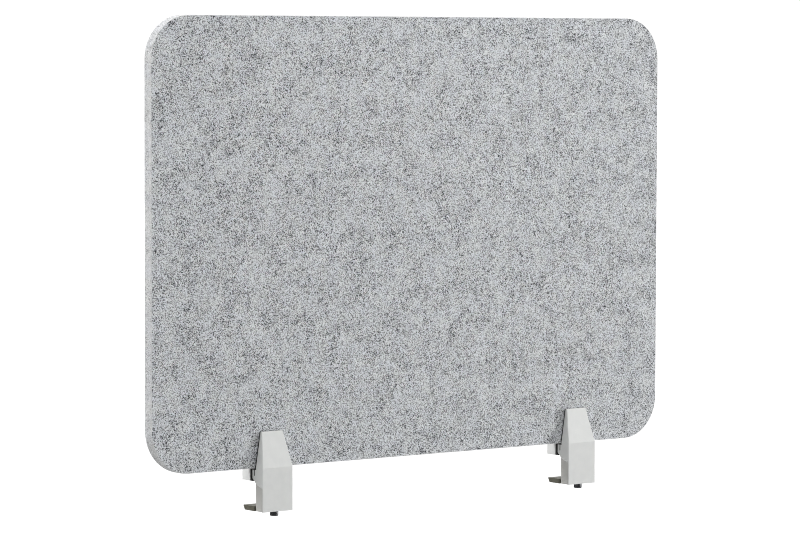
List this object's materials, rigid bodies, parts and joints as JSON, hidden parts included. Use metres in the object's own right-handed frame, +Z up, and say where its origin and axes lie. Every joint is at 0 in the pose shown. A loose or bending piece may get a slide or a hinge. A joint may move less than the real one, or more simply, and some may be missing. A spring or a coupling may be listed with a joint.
{
  "type": "desk privacy panel",
  "caption": "Free-hanging privacy panel for a desk edge: a grey pressed-felt board with rounded corners, held by screw clamps that slide along its bottom edge.",
  "frame": {"origin": "bottom centre of the whole object: below the middle of the board, at the level of the clamp screws' undersides", "axes": "+Z up, +X along the board's width, +Y from the outer side towards the desk"},
  "size_m": [0.65, 0.036, 0.498],
  "materials": {
    "pressed_felt": "pressed grey marl polyester felt, matt",
    "white_paint": "white powder coat, satin",
    "black_rubber": "black rubber, matt",
    "brown_rubber": "dark brown-black rubber, satin",
    "black_screw": "black oxide steel, oiled",
    "zinc_steel": "zinc-plated steel"
  },
  "bodies": {
    "panel": {"felt_panel": "pressed_felt"},
    "left_clamp": {"left_housing": "white_paint", "left_front_liner": "black_rubber", "left_clamp_nut": "zinc_steel"},
    "left_rear_grip": {"left_rear_jaw": "white_paint", "left_rear_pad": "black_rubber"},
    "left_grip_bolt": {"left_grip_screw": "black_screw"},
    "left_foot": {"left_lower_jaw": "white_paint", "left_foot_boot": "brown_rubber"},
    "left_clamp_bolt": {"left_clamp_screw": "black_screw", "left_retaining_ring": "zinc_steel"},
    "right_clamp": {"right_housing": "white_paint", "right_front_liner": "black_rubber", "right_clamp_nut": "zinc_steel"},
    "right_rear_grip": {"right_rear_jaw": "white_paint", "right_rear_pad": "black_rubber"},
    "right_grip_bolt": {"right_grip_screw": "black_screw"},
    "right_foot": {"right_lower_jaw": "white_paint", "right_foot_boot": "brown_rubber"},
    "right_clamp_bolt": {"right_clamp_screw": "black_screw", "right_retaining_ring": "zinc_steel"}
  },
  "joints": [
    {"name": "left_clamp_slide", "type": "slide", "parent": "panel", "child": "left_clamp", "axis": [1, 0, 0], "range_m": [-0.07, 0.11]},
    {"name": "left_rear_grip_slide", "type": "slide", "parent": "left_clamp", "child": "left_rear_grip", "axis": [0, 1, 0], "range_m": [0, 0.004]},
    {"name": "left_grip_screw_turn", "type": "hinge", "parent": "left_rear_grip", "child": "left_grip_bolt", "pos_m": [-0.1835, 0.0128, 0.0415], "axis": [0, 1, 0], "range_deg": [0, 1801]},
    {"name": "left_foot_slide", "type": "slide", "parent": "left_clamp", "child": "left_foot", "axis": [0, 0, 1], "range_m": [0, 0.012]},
    {"name": "left_clamp_screw_turn", "type": "hinge", "parent": "left_foot", "child": "left_clamp_bolt", "pos_m": [-0.1835, -0.0115, 0.005], "axis": [0, 0, 1], "range_deg": [0, 5401]},
    {"name": "right_clamp_slide", "type": "slide", "parent": "panel", "child": "right_clamp", "axis": [1, 0, 0], "range_m": [-0.13, 0.05]},
    {"name": "right_rear_grip_slide", "type": "slide", "parent": "right_clamp", "child": "right_rear_grip", "axis": [0, 1, 0], "range_m": [0, 0.004]},
    {"name": "right_grip_screw_turn", "type": "hinge", "parent": "right_rear_grip", "child": "right_grip_bolt", "pos_m": [0.2105, 0.0128, 0.0415], "axis": [0, 1, 0], "range_deg": [0, 1801]},
    {"name": "right_foot_slide", "type": "slide", "parent": "right_clamp", "child": "right_foot", "axis": [0, 0, 1], "range_m": [0, 0.012]},
    {"name": "right_clamp_screw_turn", "type": "hinge", "parent": "right_foot", "child": "right_clamp_bolt", "pos_m": [0.2105, -0.0115, 0.005], "axis": [0, 0, 1], "range_deg": [0, 5401]}
  ],
  "couplings": [
    {"joint": "left_grip_screw_turn", "follows": "left_rear_grip_slide", "rad_per_m": 7854},
    {"joint": "left_clamp_screw_turn", "follows": "left_foot_slide", "rad_per_m": 7854},
    {"joint": "right_grip_screw_turn", "follows": "right_rear_grip_slide", "rad_per_m": 7854},
    {"joint": "right_clamp_screw_turn", "follows": "right_foot_slide", "rad_per_m": 7854}
  ]
}
